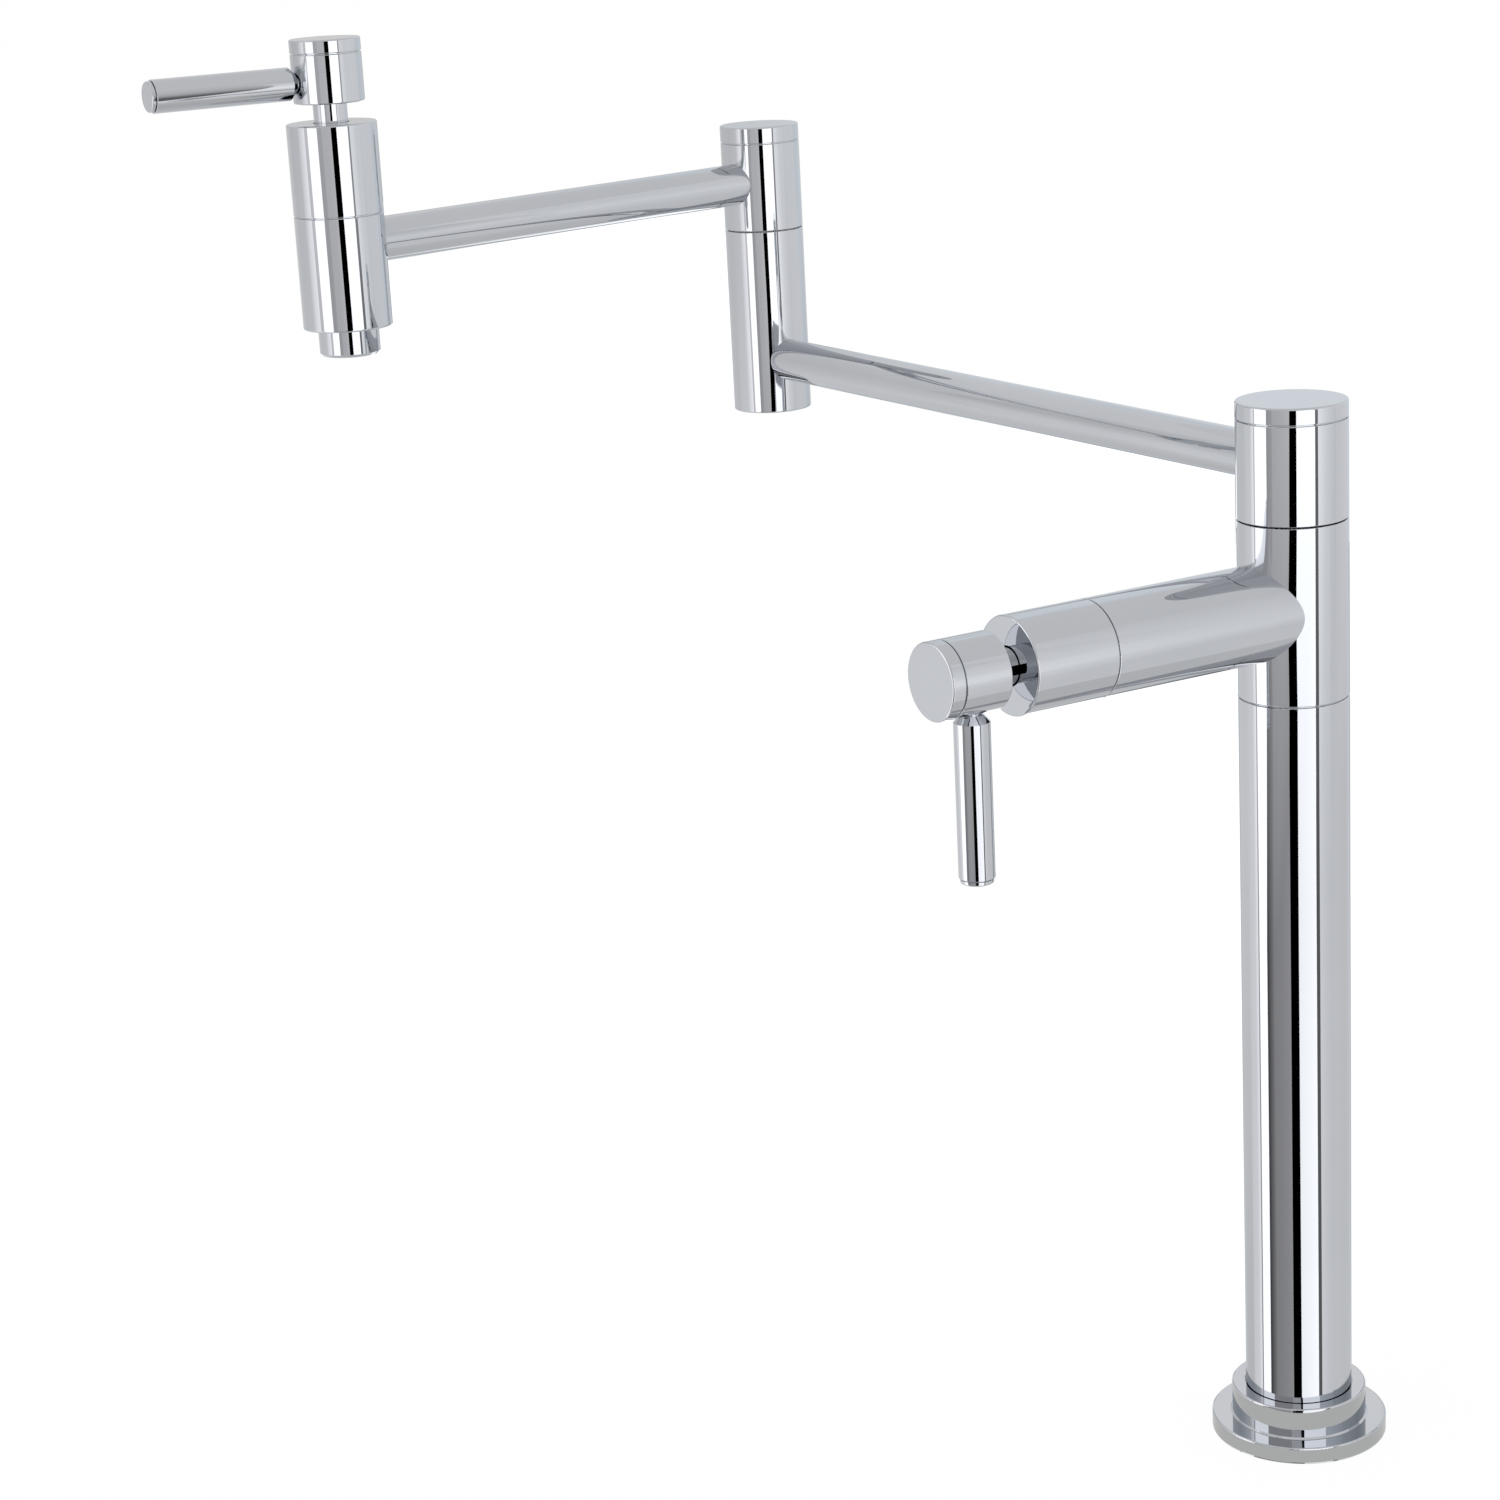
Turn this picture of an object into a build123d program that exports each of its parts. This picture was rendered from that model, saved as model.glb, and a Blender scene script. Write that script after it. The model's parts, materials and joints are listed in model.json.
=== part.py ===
from build123d import *
import os
from math import cos, radians, sin

# Deck-mounted pot filler: a riser carries a jointed two-tube arm, with a quarter-turn valve at the
# riser and another at the spout. Millimetres, +Z up. The origin is the centre of the flange's
# underside, on the deck. The valve branch points along -Y and the lower arm along -X.

# Clearances
RUNNING_CLEARANCE = 0.05
SEAT_CLEARANCE = 0.02
SWIVEL_GAP = 0.4
END_PLAY = 0.3
FREE_GAP = 0.4
CUT_OVERSHOOT = 1.0

# Edge rounds
PARTING_ROUND = 0.2
EDGE_ROUND = 0.5
CAP_ROUND = 0.6

# Shallow grooves that show where fixed pieces meet
SEAM_GAP = 0.35
SEAM_DEPTH = 0.7

# Base on the deck
FLANGE_D = 52.6
FLANGE_T = 5.1
COLLAR_D = 40.4
COLLAR_H = 9.7
COLLAR_FLARE = 0.5
COLLAR_GAP = 0.35
COLLAR_GAP_DEPTH = 1.2
GASKET_OUTER_D = 46.0
GASKET_INNER_D = 30.0
GASKET_T = 1.2

# Shank and clamping pieces below the deck
SHANK_D = 20.9
SHANK_BORE_D = 15.0
SHANK_GRIP = 18.0
SHANK_HOLE_GAP = 0.3
DECK_T = 30.0
RUBBER_WASHER_D = 50.0
RUBBER_WASHER_T = 3.0
STEEL_WASHER_D = 46.0
STEEL_WASHER_T = 2.0
NUT_ACROSS_FLATS = 32.0
NUT_T = 10.0
NUT_RUNOUT = 1.5
SUPPLY_THREAD_L = 15.0
RELIEF_L = 1.5
RELIEF_DEPTH = 0.9

# Riser and tee
COLUMN_D = 32.0
RISER_L = 227.7
RISER_WALL = 2.0
RISER_PLUG_H = 22.0
TEE_H = 51.8
TEE_SPIGOT_L = 12.0
INLET_D = 16.0
OUTLET_D = 13.0
INLET_MARGIN = 0.5
TEE_WEB_T = 2.7
BYPASS_D = 4.8
BYPASS_INSET = 0.5
BRANCH_REACH = 100.2
BRANCH_AZIMUTH = 270.0

# Swivel joints
HEAD_H = 28.5
HEAD_CAP_H = 5.2
HEAD_ARM_RISE = 15.2
SPINDLE_D = 16.0
SPINDLE_WALL = 3.5
SPINDLE_PRESS = 10.0
SPINDLE_PORT_D = 7.0
SPINDLE_SHORT = 0.6
CHAMBER_GAP = 1.8
CHAMBER_MARGIN = 0.6
WASHER_LAND = 4.0
WASHER_RECESS = 1.0
CLIP_RECESS_H = 2.5
CLIP_RECESS_GAP = 0.8
CLIP_T = 1.0
CLIP_LAND = 1.7
CLIP_GROOVE = 0.8
CLIP_OPENING = 9.0
CAP_SPIGOT_T = 1.1
CAP_SPIGOT_H = 1.4
ORING_SECTION = 1.9
ORING_SIDE_GAP = 0.15

# Arms
ARM_D = 14.0
ARM_WALL = 2.0
ARM_SOCKET_WALL = 1.4
LOWER_ARM_L = 281.0
UPPER_ARM_L = 180.0
UPPER_ARM_AZIMUTH = 281.3

# Elbow
ELBOW_D = 27.2
ELBOW_FOOT = 18.2
ELBOW_BODY_H = 63.2
ELBOW_FLOOR_T = 6.0
ELBOW_WATERWAY_D = 12.0
ELBOW_SLEEVE_H = 29.6
ELBOW_CAP_H = 5.9
ELBOW_ARM_RISE = 15.9

# Spout
VALVE_D = 28.2
SPOUT_RISE = 9.6
SPOUT_WEB_T = 4.7
AERATOR_D = 19.2
AERATOR_DROP = 8.6
AERATOR_CHAMFER = 0.9
AERATOR_SHOULDER = 0.75
AERATOR_THREAD_L = 7.0
AERATOR_WALL = 1.4
AERATOR_LIP_T = 1.0
AERATOR_LIP = 0.7
AERATOR_WASHER_T = 2.0
AERATOR_WASHER_LAND = 2.5
INSERT_RISE = 4.0
SCREEN_T = 0.5
JET_D = 1.6
JET_PITCH = 2.5
JET_RINGS = 2
JETS_PER_RING = 6

# Quarter-turn valves, measured from the bonnet's outer face
LOWER_BONNET_L = 27.6
UPPER_BONNET_L = 28.4
BONNET_FRONT_T = 3.0
CLAMP_DEPTH = 17.0
SEAT_DEPTH = 50.0
SEAT_PORT_D = 8.0
SEAT_SEAL_T = 2.0
SEAT_SEAL_INSET = 0.2
VALVE_CHAMBER_GAP = 1.5
VALVE_CHAMBER_L = 18.0
NECK_WALL = 3.0
CARTRIDGE_WALL = 1.5
CARTRIDGE_FLANGE_INSET = 0.8
CARTRIDGE_FLANGE_T = 3.0
CARTRIDGE_NECK_WALL = 3.0
CARTRIDGE_NECK_GAP = 2.0
WINDOW_W = 8.0
DISC_D = 14.0
DISC_GAP = 0.5
FIXED_DISC_T = 3.2
TURNING_DISC_T = 3.5
DISC_PORT_INNER_D = 4.4
DISC_RIM = 1.0
DISC_PORT_ANGLE = 80.0
DRIVER_T = 3.0
DRIVER_KEY_W = 3.0
DRIVER_KEY_L = 9.0
DRIVER_KEY_T = 1.2
KEY_GAP = 0.1

# Stems, hubs and levers
STEM_D = 10.6
STEM_BEARING_D = 8.0
STEM_ORING_SECTION = 1.5
STEM_ORING_DEPTH = 12.0
HUB_GAP = 6.2
HUB_D = 22.1
HUB_L = 15.0
HUB_WEB_T = 2.0
HUB_CAP_T = 4.5
HUB_CAP_SPIGOT_D = 16.0
HUB_CAP_SPIGOT_L = 1.2
SCREW_D = 3.6
SCREW_L = 10.0
SCREW_HEAD_D = 7.2
SCREW_HEAD_T = 2.5
SCREW_SOCKET = 3.0
SCREW_SOCKET_DEPTH = 1.5
SCREW_HOLE_GAP = 0.3
LEVER_OFFSET = 6.5
LEVER_D = 10.2
LEVER_L = 59.1
LEVER_GAP = 0.2
LEVER_CHAMFER_L = 2.0
LEVER_CHAMFER = 1.9
LEVER_STUD_D = 5.0
TIP_D = 9.4
TIP_T = 1.2
TIP_GROOVE = 0.3
TIP_SPIGOT_D = 7.0
TIP_SPIGOT_L = 5.0
UPPER_LEVER_AZIMUTH = 269.0

# Diameters that follow from the pieces inside them
SPINDLE_BORE_D = SPINDLE_D - 2 * SPINDLE_WALL
CHAMBER_D = SPINDLE_D + 2 * CHAMBER_GAP
WASHER_D = SPINDLE_D + 2 * WASHER_LAND
CLIP_D = SPINDLE_D + 2 * CLIP_LAND
CLIP_RECESS_D = CLIP_D + 2 * CLIP_RECESS_GAP
CAP_SPIGOT_D = CLIP_RECESS_D + 2 * CAP_SPIGOT_T
ARM_BORE_D = ARM_D - 2 * ARM_WALL
CHAMBER_H = ARM_BORE_D + 2 * CHAMBER_MARGIN
AERATOR_THREAD_D = AERATOR_D - 2 * AERATOR_SHOULDER
AERATOR_BORE_D = AERATOR_THREAD_D - 2 * AERATOR_WALL
AERATOR_LIP_D = AERATOR_BORE_D - 2 * AERATOR_LIP
CARTRIDGE_CAVITY_D = DISC_D + 2 * DISC_GAP
CARTRIDGE_D = CARTRIDGE_CAVITY_D + 2 * CARTRIDGE_WALL
CARTRIDGE_NECK_D = STEM_BEARING_D + 2 * CARTRIDGE_NECK_WALL
BONNET_BORE_D = CARTRIDGE_NECK_D + 2 * FREE_GAP
VALVE_CHAMBER_D = CARTRIDGE_D + 2 * VALVE_CHAMBER_GAP
NECK_D = CARTRIDGE_D + 2 * NECK_WALL
CARTRIDGE_FLANGE_D = NECK_D - 2 * CARTRIDGE_FLANGE_INSET
SEAT_SEAL_D = CARTRIDGE_D - 2 * SEAT_SEAL_INSET
DISC_PORT_OUTER_D = DISC_D - 2 * DISC_RIM

# Lengths that follow from the pieces inside them
AERATOR_SOCKET_L = AERATOR_THREAD_L + AERATOR_WASHER_T

# Radii
COLUMN_R = COLUMN_D / 2
SHANK_R = SHANK_D / 2
RISER_BORE_R = COLUMN_R - RISER_WALL
SPINDLE_R = SPINDLE_D / 2
ARM_R = ARM_D / 2
ELBOW_R = ELBOW_D / 2
VALVE_R = VALVE_D / 2
STEM_R = STEM_D / 2
HUB_R = HUB_D / 2

# Heights above the deck
COLLAR_TOP = FLANGE_T + COLLAR_H
TEE_FOOT = FLANGE_T + RISER_L
TEE_TOP = TEE_FOOT + TEE_H
BRANCH_Z = TEE_FOOT + TEE_H / 2
HEAD_FOOT = TEE_TOP + SWIVEL_GAP
HEAD_TOP = HEAD_FOOT + HEAD_H
LOWER_ARM_Z = HEAD_FOOT + HEAD_ARM_RISE
ELBOW_BOTTOM = LOWER_ARM_Z - ELBOW_FOOT
ELBOW_TOP = ELBOW_BOTTOM + ELBOW_BODY_H
SLEEVE_FOOT = ELBOW_TOP + SWIVEL_GAP
SLEEVE_TOP = SLEEVE_FOOT + ELBOW_SLEEVE_H
UPPER_ARM_Z = SLEEVE_FOOT + ELBOW_ARM_RISE
SPOUT_TOP = UPPER_ARM_Z + SPOUT_RISE
UPPER_FACE_Z = SPOUT_TOP + UPPER_BONNET_L
AERATOR_SOCKET_TOP = UPPER_FACE_Z - SEAT_DEPTH - SPOUT_WEB_T
SPOUT_BOTTOM = AERATOR_SOCKET_TOP - AERATOR_SOCKET_L

# Depths below the deck
RUBBER_WASHER_BOTTOM = -DECK_T - RUBBER_WASHER_T
STEEL_WASHER_BOTTOM = RUBBER_WASHER_BOTTOM - STEEL_WASHER_T
NUT_BOTTOM = STEEL_WASHER_BOTTOM - NUT_T
RELIEF_TOP = NUT_BOTTOM - NUT_RUNOUT
RELIEF_BOTTOM = RELIEF_TOP - RELIEF_L
SHANK_BOTTOM = RELIEF_BOTTOM - SUPPLY_THREAD_L

# Levels along a valve's axis, with the bonnet's outer face at zero and the hub on the plus side
CARTRIDGE_TOP = -BONNET_FRONT_T - CARTRIDGE_NECK_GAP
CLAMP_Z = -CLAMP_DEPTH
NECK_TOP = CLAMP_Z - CARTRIDGE_FLANGE_T
SEAT_Z = -SEAT_DEPTH
CHAMBER_TOP = SEAT_Z + VALVE_CHAMBER_L
FIXED_DISC_Z = SEAT_Z + SEAT_SEAL_T
TURNING_DISC_Z = FIXED_DISC_Z + FIXED_DISC_T
DRIVER_Z = TURNING_DISC_Z + TURNING_DISC_T
BEARING_Z = DRIVER_Z + DRIVER_T
CAVITY_TOP = BEARING_Z + END_PLAY
HUB_FOOT = HUB_GAP
HUB_TOP = HUB_FOOT + HUB_L
SCREW_SEAT = HUB_TOP - HUB_CAP_SPIGOT_L - END_PLAY - SCREW_HEAD_T
STEM_TOP = SCREW_SEAT - HUB_WEB_T
LEVER_Z = HUB_FOOT + LEVER_OFFSET

# Places of the joints and valves
SOCKET_FLOOR = CHAMBER_D / 2 + ARM_SOCKET_WALL
LOWER_ARM_AZIMUTH = 180.0
ELBOW_X = -LOWER_ARM_L
AT_ELBOW = Pos(ELBOW_X, 0, 0)
ALONG_UPPER_ARM = Rot(0, 0, UPPER_ARM_AZIMUTH)
AT_SPOUT = AT_ELBOW * ALONG_UPPER_ARM * Pos(UPPER_ARM_L, 0, 0) * ALONG_UPPER_ARM.inverse()
AT_LOWER_VALVE = Plane((0, -BRANCH_REACH, BRANCH_Z), x_dir=(0, 0, -1), z_dir=(0, -1, 0)).location
AT_UPPER_VALVE = AT_SPOUT * Pos(0, 0, UPPER_FACE_Z) * Rot(0, 0, UPPER_LEVER_AZIMUTH)

FROM_FOOT = (Align.CENTER, Align.CENTER, Align.MIN)
ALONG_X = Rot(0, 90, 0)


def turned(outline):
    """Solid of revolution about Z. Each corner is (radius, height) or (radius, height, round)."""
    face = Face(Wire.make_polygon([(corner[0], 0, corner[1]) for corner in outline]))
    for corner in outline:
        if len(corner) == 3:
            place = Vector(corner[0], 0, corner[1])
            nearest = min(face.vertices(), key=lambda vertex: (Vector(vertex) - place).length)
            face = face.fillet_2d(corner[2], [nearest])
    return revolve(face, Axis.Z)


def seam(radius, level, side):
    """Corners of a seam groove, in the piece above the joint (side 1) or below it (side -1)."""
    floor_r = radius - SEAM_DEPTH
    edge = level + side * SEAM_GAP
    corners = [(floor_r, level), (floor_r, edge), (radius, edge, PARTING_ROUND)]
    return corners[::side]


def rod(diameter, start, end):
    """Round bar on the Z axis between two heights."""
    return Pos(0, 0, start) * Cylinder(diameter / 2, end - start, align=FROM_FOOT)


def ring(outer, inner, start, end):
    """Round ring on the Z axis between two heights."""
    return rod(outer, start, end) - rod(inner, start, end)


def side_rod(diameter, start, end, height, azimuth):
    """Round bar along a level direction, from one distance off the Z axis to another."""
    return Pos(0, 0, height) * Rot(0, 0, azimuth) * ALONG_X * rod(diameter, start, end)


def oring(radius, section, height):
    """Seal ring whose outside lies on the given radius."""
    return Pos(0, 0, height) * Torus(radius - section / 2, section / 2)


def oring_groove(radius, section, height):
    """Ring to cut from a shaft so that a seal lies flush in it."""
    half = section / 2 + ORING_SIDE_GAP
    floor_d = 2 * (radius - section - SEAT_CLEARANCE)
    return ring(2 * radius + section, floor_d, height - half, height + half)


def sectors(outer, inner, start, end, azimuth):
    """Two opposite ring sectors."""
    half = radians(DISC_PORT_ANGLE / 2)
    wedge = make_face(
        Polyline(
            (0, 0),
            (outer * cos(half), outer * sin(half)),
            (outer * cos(half), -outer * sin(half)),
            close=True,
        )
    )
    block = Pos(0, 0, start) * extrude(wedge, end - start)
    pair = Rot(0, 0, azimuth) * block + Rot(0, 0, azimuth + 180) * block
    return pair & ring(outer, inner, start, end)


def arm_socket(body_r, height, azimuth):
    """Socket for an arm tube with the water hole behind it, to cut from a turned body."""
    seat = side_rod(ARM_D + 2 * SEAT_CLEARANCE, SOCKET_FLOOR, body_r + ARM_R, height, azimuth)
    hole = side_rod(ARM_BORE_D, 0, body_r, height, azimuth)
    return seat, hole


# Base on the deck
def flange():
    bore_r = SHANK_R + SHANK_HOLE_GAP
    recess_inner = GASKET_INNER_D / 2 - SEAT_CLEARANCE
    recess_outer = GASKET_OUTER_D / 2 + SEAT_CLEARANCE
    return turned([
        (bore_r, 0),
        (recess_inner, 0),
        (recess_inner, GASKET_T),
        (recess_outer, GASKET_T),
        (recess_outer, 0),
        (FLANGE_D / 2, 0, PARTING_ROUND),
        (FLANGE_D / 2, FLANGE_T, EDGE_ROUND),
        (bore_r, FLANGE_T),
    ])


def collar():
    bore_r = COLUMN_R + SEAT_CLEARANCE
    gap_r = COLUMN_R + COLLAR_GAP
    gap_floor = COLLAR_TOP - COLLAR_GAP_DEPTH
    return turned([
        (bore_r, FLANGE_T),
        (COLLAR_D / 2 + COLLAR_FLARE, FLANGE_T),
        (COLLAR_D / 2, FLANGE_T + COLLAR_FLARE),
        (COLLAR_D / 2, COLLAR_TOP, EDGE_ROUND),
        (gap_r, COLLAR_TOP),
        (gap_r, gap_floor),
        (bore_r, gap_floor),
    ])


def deck_gasket():
    return ring(GASKET_OUTER_D, GASKET_INNER_D, 0, GASKET_T)


def mounting_shank():
    body = ring(SHANK_D, SHANK_BORE_D, SHANK_BOTTOM, FLANGE_T + SHANK_GRIP)
    relief_outer = SHANK_D + CUT_OVERSHOOT
    return body - ring(relief_outer, SHANK_D - 2 * RELIEF_DEPTH, RELIEF_BOTTOM, RELIEF_TOP)


def rubber_washer():
    return ring(RUBBER_WASHER_D, SHANK_D + 2 * SHANK_HOLE_GAP, RUBBER_WASHER_BOTTOM, -DECK_T)


def steel_washer():
    bore = SHANK_D + 2 * SHANK_HOLE_GAP
    return ring(STEEL_WASHER_D, bore, STEEL_WASHER_BOTTOM, RUBBER_WASHER_BOTTOM)


def mounting_nut():
    hexagon = RegularPolygon(NUT_ACROSS_FLATS / 2, 6, major_radius=False)
    block = Pos(0, 0, NUT_BOTTOM) * extrude(hexagon, NUT_T)
    return block - rod(SHANK_D + 2 * SEAT_CLEARANCE, NUT_BOTTOM, STEEL_WASHER_BOTTOM)


# Riser and tee
def riser():
    return turned([
        (RISER_BORE_R, FLANGE_T),
        (COLUMN_R, FLANGE_T),
        *seam(COLUMN_R, TEE_FOOT, -1),
        (RISER_BORE_R, TEE_FOOT),
    ])


def riser_plug():
    outer = 2 * (RISER_BORE_R - SEAT_CLEARANCE)
    return ring(outer, SHANK_D + 2 * SEAT_CLEARANCE, FLANGE_T, FLANGE_T + RISER_PLUG_H)


TEE_SPIGOT_R = RISER_BORE_R - RUNNING_CLEARANCE
TEE_ORING_Z = TEE_FOOT - TEE_SPIGOT_L / 2


def riser_oring():
    return oring(TEE_SPIGOT_R, ORING_SECTION, TEE_ORING_Z)


def valve_cavity():
    """Chamber, seat and neck bore of a valve, to cut from the body that holds it."""
    return turned([
        (0, SEAT_Z),
        (VALVE_CHAMBER_D / 2, SEAT_Z),
        (VALVE_CHAMBER_D / 2, CHAMBER_TOP),
        (CARTRIDGE_D / 2 + SEAT_CLEARANCE, CHAMBER_TOP),
        (CARTRIDGE_D / 2 + SEAT_CLEARANCE, NECK_TOP),
        (0, NECK_TOP),
    ])


def tee_body():
    spigot_foot = TEE_FOOT - TEE_SPIGOT_L
    column = turned([
        (0, spigot_foot),
        (TEE_SPIGOT_R, spigot_foot),
        (TEE_SPIGOT_R, TEE_FOOT),
        (COLUMN_R, TEE_FOOT, PARTING_ROUND),
        (COLUMN_R, TEE_TOP, PARTING_ROUND),
        (0, TEE_TOP),
    ])
    branch = turned([
        (0, -BRANCH_REACH),
        (VALVE_R, -BRANCH_REACH),
        (VALVE_R, -LOWER_BONNET_L, PARTING_ROUND),
        (NECK_D / 2, -LOWER_BONNET_L),
        (NECK_D / 2, NECK_TOP),
        (0, NECK_TOP),
    ])
    inlet_top = BRANCH_Z + SEAT_PORT_D / 2 + INLET_MARGIN
    socket_foot = TEE_TOP - SPINDLE_PRESS
    inlet = rod(INLET_D, spigot_foot, inlet_top)
    outlet = rod(OUTLET_D, inlet_top + TEE_WEB_T, socket_foot)
    socket = rod(SPINDLE_D + 2 * SEAT_CLEARANCE, socket_foot, TEE_TOP)
    seat_distance = BRANCH_REACH - SEAT_DEPTH
    bypass_z = BRANCH_Z + VALVE_CHAMBER_D / 2 - BYPASS_INSET
    feed = side_rod(SEAT_PORT_D, 0, seat_distance, BRANCH_Z, BRANCH_AZIMUTH)
    bypass = side_rod(BYPASS_D, 0, seat_distance + SEAT_SEAL_T, bypass_z, BRANCH_AZIMUTH)
    groove = oring_groove(TEE_SPIGOT_R, ORING_SECTION, TEE_ORING_Z)
    body = column + AT_LOWER_VALVE * branch
    return body - [inlet, outlet, socket, feed, bypass, groove, AT_LOWER_VALVE * valve_cavity()]


# Swivel joints: a hollow spindle in the fixed body carries the turning body
class Swivel:
    """Heights of a swivel joint, from the fixed body's top to the turning body's top."""

    def __init__(self, seat, foot, arm, top):
        self.seat = seat
        self.foot = foot
        self.arm = arm
        self.top = top
        self.washer_top = foot + WASHER_RECESS
        self.chamber_foot = arm - CHAMBER_H / 2
        self.chamber_top = arm + CHAMBER_H / 2
        self.bearing_top = top - CLIP_RECESS_H
        self.clip_foot = self.bearing_top + END_PLAY
        self.spindle_top = top - SPINDLE_SHORT
        self.oring_levels = (
            (self.washer_top + self.chamber_foot) / 2,
            (self.chamber_top + self.bearing_top) / 2,
        )


HEAD = Swivel(TEE_TOP, HEAD_FOOT, LOWER_ARM_Z, HEAD_TOP)
ELBOW = Swivel(ELBOW_TOP, SLEEVE_FOOT, UPPER_ARM_Z, SLEEVE_TOP)


def spindle(joint):
    press_foot = joint.seat - SPINDLE_PRESS
    body = turned([
        (SPINDLE_BORE_D / 2, press_foot),
        (SPINDLE_R, press_foot),
        (SPINDLE_R, joint.spindle_top),
        (0, joint.spindle_top),
        (0, joint.chamber_top),
        (SPINDLE_BORE_D / 2, joint.chamber_top),
    ])
    port = side_rod(SPINDLE_PORT_D, -SPINDLE_D, SPINDLE_D, joint.arm, 0)
    clip_groove = ring(
        SPINDLE_D + CUT_OVERSHOOT,
        SPINDLE_D - 2 * CLIP_GROOVE,
        joint.clip_foot,
        joint.clip_foot + CLIP_T,
    )
    grooves = [oring_groove(SPINDLE_R, ORING_SECTION, level) for level in joint.oring_levels]
    return body - [port, clip_groove, *grooves]


def spindle_orings(joint):
    lower, upper = joint.oring_levels
    return oring(SPINDLE_R, ORING_SECTION, lower) + oring(SPINDLE_R, ORING_SECTION, upper)


def thrust_washer(joint):
    return ring(WASHER_D, SPINDLE_D + 2 * FREE_GAP, joint.seat, joint.washer_top)


def circlip(joint):
    inner = SPINDLE_D - 2 * CLIP_GROOVE + 2 * SEAT_CLEARANCE
    whole = ring(CLIP_D, inner, joint.clip_foot, joint.clip_foot + CLIP_T)
    opening = Pos(0, 0, joint.clip_foot) * Box(
        CLIP_D, CLIP_OPENING, CLIP_T, align=(Align.MIN, Align.CENTER, Align.MIN)
    )
    return whole - opening


def swivel_body(joint, body_r, azimuth):
    bore_r = SPINDLE_R + RUNNING_CLEARANCE
    recess_r = WASHER_D / 2 + FREE_GAP
    spigot_r = CAP_SPIGOT_D / 2
    spigot_foot = joint.top - CAP_SPIGOT_H
    body = turned([
        (recess_r, joint.foot),
        (body_r, joint.foot, PARTING_ROUND),
        (body_r, joint.top, PARTING_ROUND),
        (spigot_r, joint.top),
        (spigot_r, spigot_foot),
        (CLIP_RECESS_D / 2, spigot_foot),
        (CLIP_RECESS_D / 2, joint.bearing_top),
        (bore_r, joint.bearing_top),
        (bore_r, joint.chamber_top),
        (CHAMBER_D / 2, joint.chamber_top),
        (CHAMBER_D / 2, joint.chamber_foot),
        (bore_r, joint.chamber_foot),
        (bore_r, joint.washer_top),
        (recess_r, joint.washer_top),
    ])
    return body - [*arm_socket(body_r, joint.arm, azimuth)]


def swivel_cap(joint, body_r, height):
    spigot_r = CAP_SPIGOT_D / 2 - SEAT_CLEARANCE
    spigot_foot = joint.top - CAP_SPIGOT_H
    return turned([
        (0, joint.top),
        (spigot_r - CAP_SPIGOT_T, joint.top),
        (spigot_r - CAP_SPIGOT_T, spigot_foot),
        (spigot_r, spigot_foot),
        (spigot_r, joint.top),
        *seam(body_r, joint.top, 1),
        (body_r, joint.top + height, CAP_ROUND),
        (0, joint.top + height),
    ])


# Arm tubes
def arm_tube(length, height, azimuth):
    """Tube from the socket floor at one axis to the socket floor at the next."""
    start = SOCKET_FLOOR
    end = length - SOCKET_FLOOR
    outer = side_rod(ARM_D, start, end, height, azimuth)
    return outer - side_rod(ARM_BORE_D, start, end, height, azimuth)


# Elbow
def elbow_body():
    socket_r = SPINDLE_R + SEAT_CLEARANCE
    socket_foot = ELBOW_TOP - SPINDLE_PRESS
    body = turned([
        (0, ELBOW_BOTTOM),
        (ELBOW_R, ELBOW_BOTTOM, CAP_ROUND),
        (ELBOW_R, ELBOW_TOP, PARTING_ROUND),
        (socket_r, ELBOW_TOP),
        (socket_r, socket_foot),
        (ELBOW_WATERWAY_D / 2, socket_foot),
        (ELBOW_WATERWAY_D / 2, ELBOW_BOTTOM + ELBOW_FLOOR_T),
        (0, ELBOW_BOTTOM + ELBOW_FLOOR_T),
    ])
    return body - [*arm_socket(ELBOW_R, LOWER_ARM_Z, LOWER_ARM_AZIMUTH + 180)]


# Spout and aerator
AERATOR_FOOT = SPOUT_BOTTOM - AERATOR_DROP
INSERT_FOOT = AERATOR_FOOT + AERATOR_LIP_T
SCREEN_FOOT = SPOUT_BOTTOM + INSERT_RISE


def spout_body():
    body = turned([
        (0, SPOUT_BOTTOM),
        (VALVE_R, SPOUT_BOTTOM, CAP_ROUND),
        (VALVE_R, SPOUT_TOP, PARTING_ROUND),
        (NECK_D / 2, SPOUT_TOP),
        (NECK_D / 2, UPPER_FACE_Z + NECK_TOP),
        (0, UPPER_FACE_Z + NECK_TOP),
    ])
    cavity = Pos(0, 0, UPPER_FACE_Z) * valve_cavity()
    outlet = rod(SEAT_PORT_D, SPOUT_BOTTOM, UPPER_FACE_Z + SEAT_Z)
    socket = rod(AERATOR_THREAD_D, SPOUT_BOTTOM, AERATOR_SOCKET_TOP)
    return body - [cavity, outlet, socket, *arm_socket(VALVE_R, UPPER_ARM_Z, UPPER_ARM_AZIMUTH + 180)]


def aerator_housing():
    thread_r = AERATOR_THREAD_D / 2 - SEAT_CLEARANCE
    thread_top = SPOUT_BOTTOM + AERATOR_THREAD_L
    return turned([
        (AERATOR_LIP_D / 2, AERATOR_FOOT),
        (AERATOR_D / 2 - AERATOR_CHAMFER, AERATOR_FOOT),
        (AERATOR_D / 2, AERATOR_FOOT + AERATOR_CHAMFER),
        (AERATOR_D / 2, SPOUT_BOTTOM, PARTING_ROUND),
        (thread_r, SPOUT_BOTTOM),
        (thread_r, thread_top),
        (AERATOR_BORE_D / 2, thread_top),
        (AERATOR_BORE_D / 2, INSERT_FOOT),
        (AERATOR_LIP_D / 2, INSERT_FOOT),
    ])


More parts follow.
